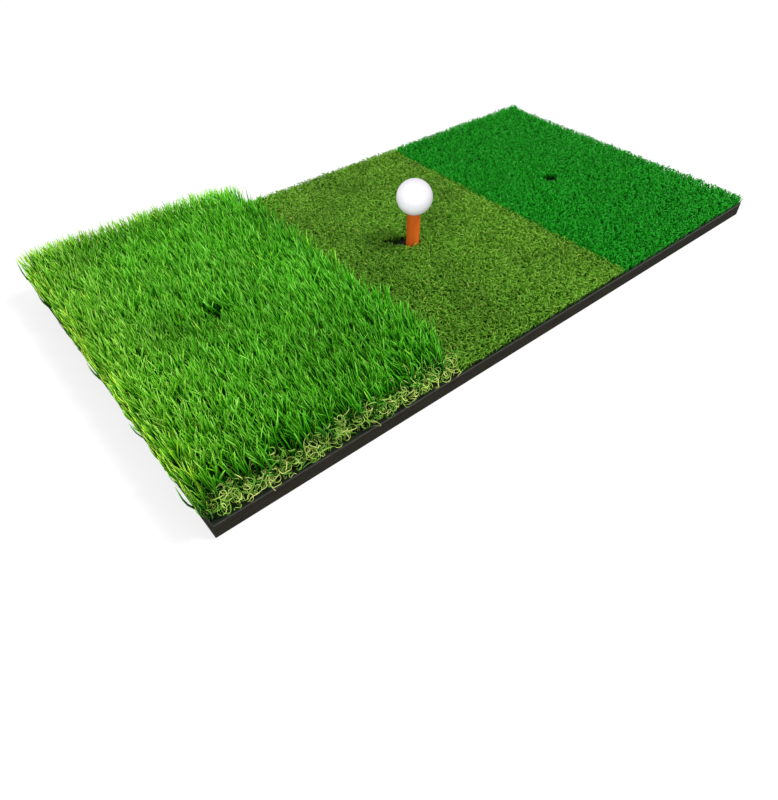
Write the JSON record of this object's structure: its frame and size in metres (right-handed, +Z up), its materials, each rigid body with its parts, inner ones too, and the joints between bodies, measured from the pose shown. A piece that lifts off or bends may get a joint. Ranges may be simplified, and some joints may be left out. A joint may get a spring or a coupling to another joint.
{
  "type": "golf hitting mat",
  "caption": "Rectangular practice mat with rough, fairway and tee turf side by side on a thick rubber base, with a hollow rubber tee and a ball.",
  "frame": {"origin": "centre of the base's underside, on the floor under the tee", "axes": "+X along the mat from the rough to the tee turf, +Y across the mat, +Z up"},
  "size_m": [0.8, 0.4, 0.1056],
  "materials": {
    "base_rubber": "matte, cut edges",
    "glue": "satin",
    "latex": "matte",
    "woven_backing": "woven",
    "thatch_yarn": "curled yarn",
    "rough_yarn": "satin blades",
    "fairway_yarn": "curled yarn",
    "tee_turf_yarn": "curled yarn",
    "tee_rubber": "matte, moulded",
    "core_rubber": "matte",
    "cover_plastic": "gloss"
  },
  "bodies": {
    "mat": {"rubber_base": "base_rubber", "rough_glue": "glue", "rough_latex_coat": "latex", "rough_backing_cloth": "woven_backing", "rough_thatch": "thatch_yarn", "rough_blades": "rough_yarn", "fairway_glue": "glue", "fairway_latex_coat": "latex", "fairway_backing_cloth": "woven_backing", "fairway_pile": "fairway_yarn", "tee_turf_glue": "glue", "tee_turf_latex_coat": "latex", "tee_turf_backing_cloth": "woven_backing", "tee_turf_pile": "tee_turf_yarn"},
    "tee": {"rubber_tee": "tee_rubber"},
    "ball": {"ball_core": "core_rubber", "ball_cover": "cover_plastic"}
  },
  "joints": [
    {"name": "tee_pull", "type": "slide", "parent": "mat", "child": "tee", "axis": [0, 0, -1], "range_m": [0, 0.068]},
    {"name": "ball_lift", "type": "slide", "parent": "mat", "child": "ball", "axis": [0, 0, 1], "range_m": [0, 0.15]}
  ]
}
